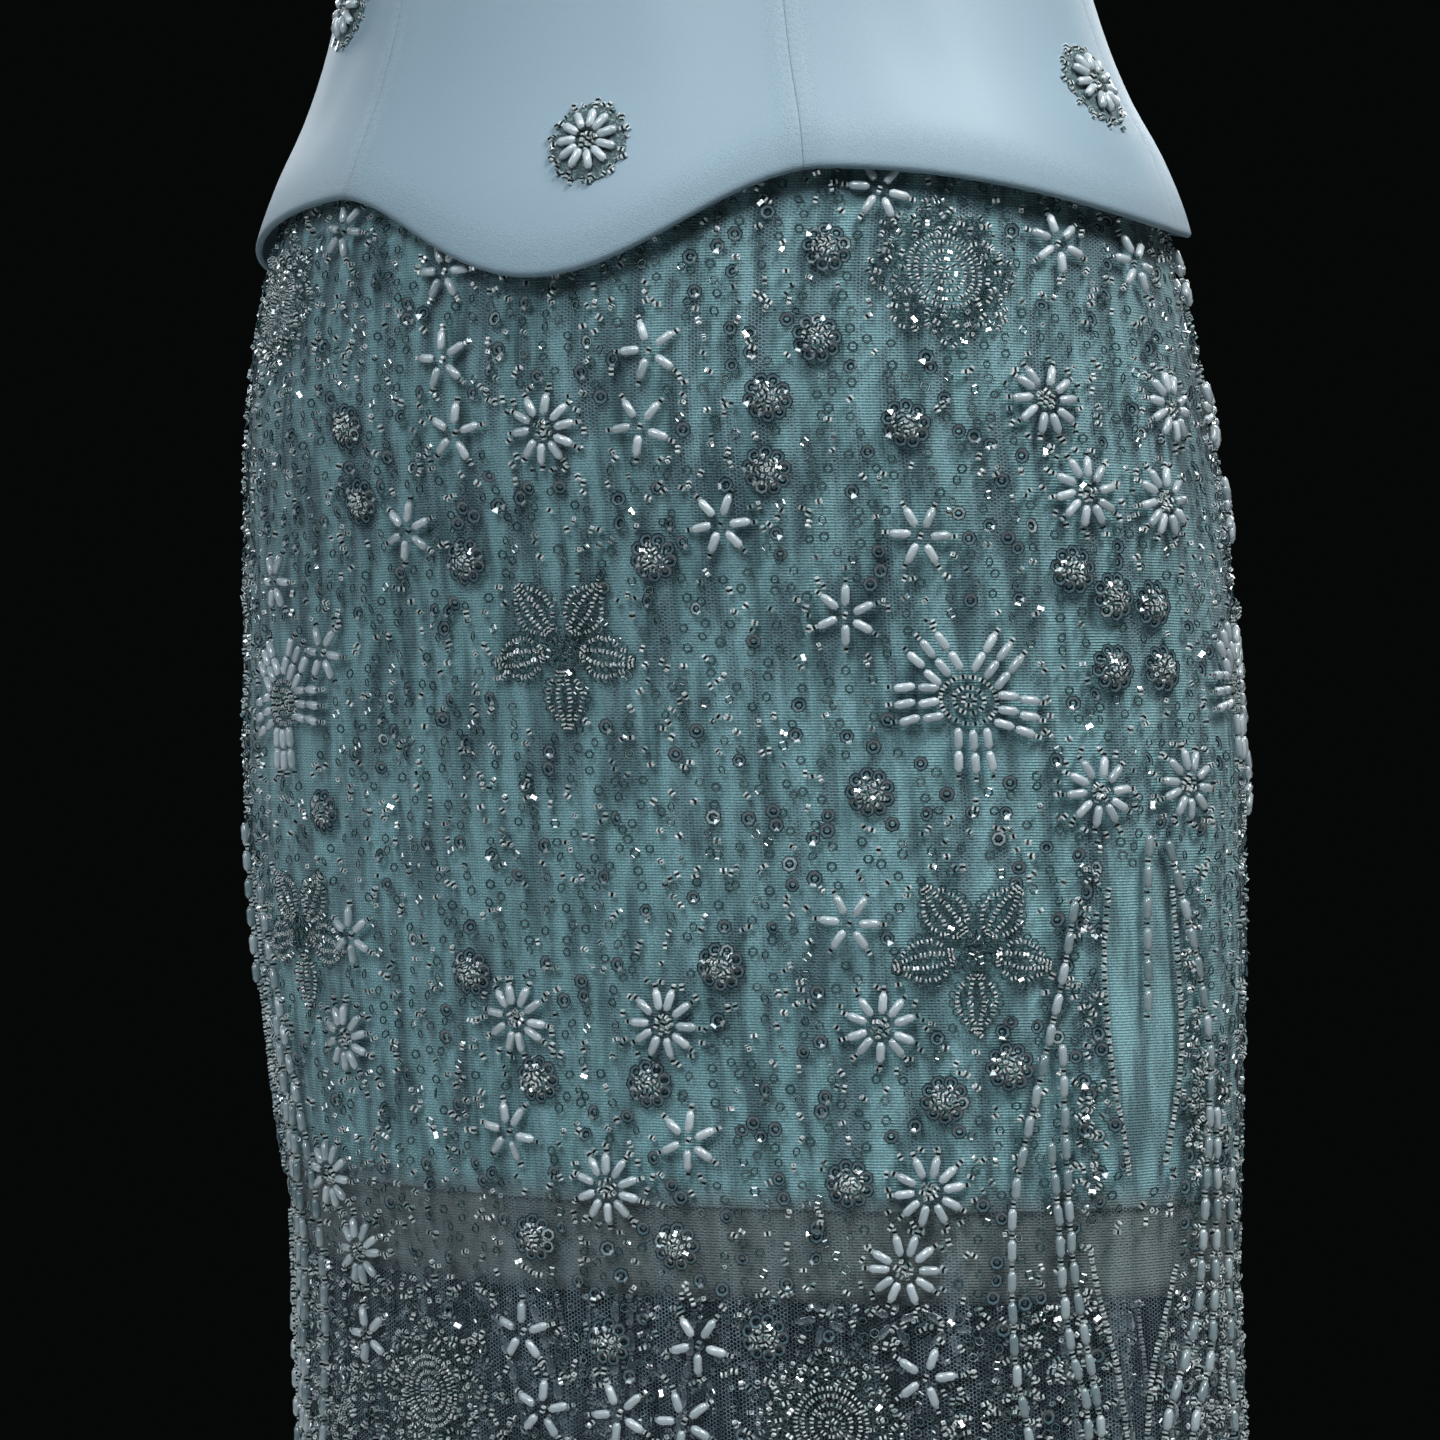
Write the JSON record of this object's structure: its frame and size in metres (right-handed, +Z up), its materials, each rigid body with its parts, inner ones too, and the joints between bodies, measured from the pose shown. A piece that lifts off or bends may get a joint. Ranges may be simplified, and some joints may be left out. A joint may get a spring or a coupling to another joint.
{
  "type": "two-piece evening gown",
  "caption": "Worn-form two-piece evening gown: strapless peplum top with a waved hem over a floor-length column skirt of beaded net with two slips.",
  "frame": {"origin": "on the wearer's axis at the waist, level with the top edge of the skirt's waistband, where the gown is held", "axes": "+Z up along the wearer, -Y the way the wearer faces, +X the wearer's left"},
  "size_m": [0.3843, 0.255, 1.2711],
  "materials": {
    "ice_satin": "smooth satin with a soft sheen",
    "aqua_net": "sheer hexagonal net",
    "aqua_jersey": "fine matt knit",
    "pale_jersey": "fine matt knit",
    "pearl": "pearl lustre",
    "silver_beads": "silver-lined glass",
    "zip_metal": "polished",
    "zip_tape": "woven tape"
  },
  "bodies": {
    "gown": {"top_front": "ice_satin", "top_side_front_left": "ice_satin", "top_side_front_right": "ice_satin", "top_side_back_left": "ice_satin", "top_side_back_right": "ice_satin", "top_back_left": "ice_satin", "top_back_right": "ice_satin", "skirt_net_front": "aqua_net", "skirt_net_back": "aqua_net", "skirt_slip_front": "aqua_jersey", "skirt_slip_back": "aqua_jersey", "skirt_waistband_front": "aqua_jersey", "skirt_waistband_back": "aqua_jersey", "skirt_underslip_front": "pale_jersey", "skirt_underslip_back": "pale_jersey", "top_zip": "zip_tape", "skirt_zip": "zip_tape", "top_zip_slider": "zip_metal", "top_flower_01": "pearl", "top_flower_02": "pearl", "top_flower_03": "pearl", "top_flower_04": "pearl", "top_flower_05": "pearl", "top_flower_06": "pearl", "top_flower_07": "pearl", "top_flower_08": "pearl", "top_flower_09": "pearl", "top_flower_10": "pearl", "top_flower_11": "pearl", "skirt_sun_01": "pearl", "skirt_sun_02": "pearl", "skirt_sun_03": "pearl", "skirt_sun_04": "pearl", "skirt_sun_05": "pearl", "skirt_sun_06": "pearl", "skirt_sun_07": "pearl", "skirt_sun_08": "pearl", "skirt_sun_09": "pearl", "skirt_sun_10": "pearl", "skirt_leaf_flower_01": "silver_beads", "skirt_leaf_flower_02": "silver_beads", "skirt_leaf_flower_03": "silver_beads", "skirt_leaf_flower_04": "silver_beads", "skirt_leaf_flower_05": "silver_beads", "skirt_leaf_flower_06": "silver_beads", "skirt_leaf_flower_07": "silver_beads", "skirt_leaf_flower_08": "silver_beads", "skirt_rosette_01": "silver_beads", "skirt_rosette_02": "silver_beads", "skirt_rosette_03": "silver_beads", "skirt_rosette_04": "silver_beads", "skirt_rosette_05": "silver_beads", "skirt_rosette_06": "silver_beads"},
    "zip_pull": {"top_zip_pull": "zip_metal"}
  },
  "joints": [
    {"name": "zip_pull_swing", "type": "hinge", "parent": "gown", "child": "zip_pull", "pos_m": [0, 0.09447, 0.14], "axis": [1, 0, 0], "range_deg": [0, 150]}
  ]
}
